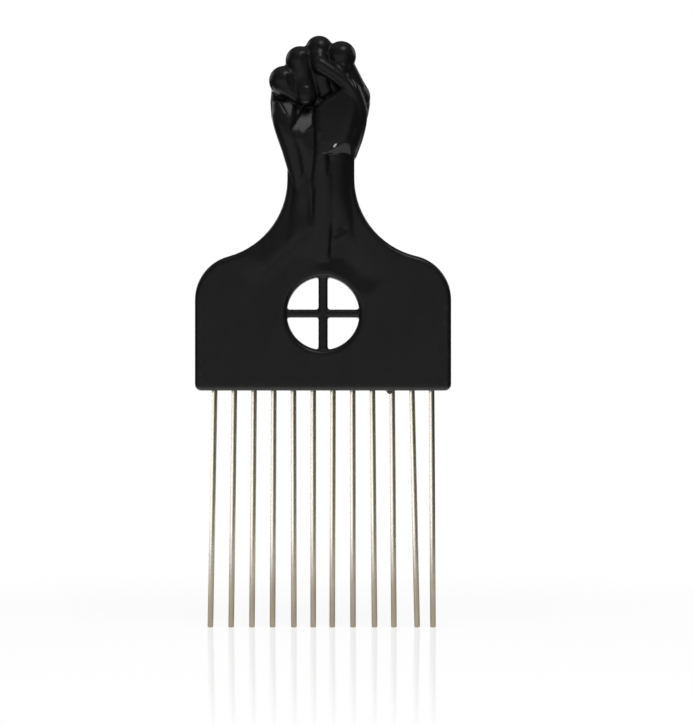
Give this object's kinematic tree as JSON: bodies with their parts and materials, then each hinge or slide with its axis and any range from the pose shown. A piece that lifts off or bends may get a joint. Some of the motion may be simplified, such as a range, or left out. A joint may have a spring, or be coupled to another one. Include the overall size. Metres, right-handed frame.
{
  "type": "afro pick",
  "caption": "Hair pick with straight steel tines moulded into a flat black plastic handle that has a round crossed window and a grip shaped as a raised fist.",
  "frame": {"origin": "middle of the pick on the level of the tine tips, half way between palm side and back", "axes": "+Z from the tine tips up to the knuckles, +X across the row of tines, -Y towards the palm side"},
  "size_m": [0.0728, 0.0174, 0.168],
  "materials": {
    "handle_plastic": "glossy black moulded plastic",
    "tine_steel": "bright drawn wire, nickel plated, slightly warm"
  },
  "bodies": {
    "root": {"handle": "handle_plastic", "tine_01": "tine_steel", "tine_02": "tine_steel", "tine_03": "tine_steel", "tine_04": "tine_steel", "tine_05": "tine_steel", "tine_06": "tine_steel", "tine_07": "tine_steel", "tine_08": "tine_steel", "tine_09": "tine_steel", "tine_10": "tine_steel", "tine_11": "tine_steel", "tine_12": "tine_steel"}
  },
  "joints": []
}
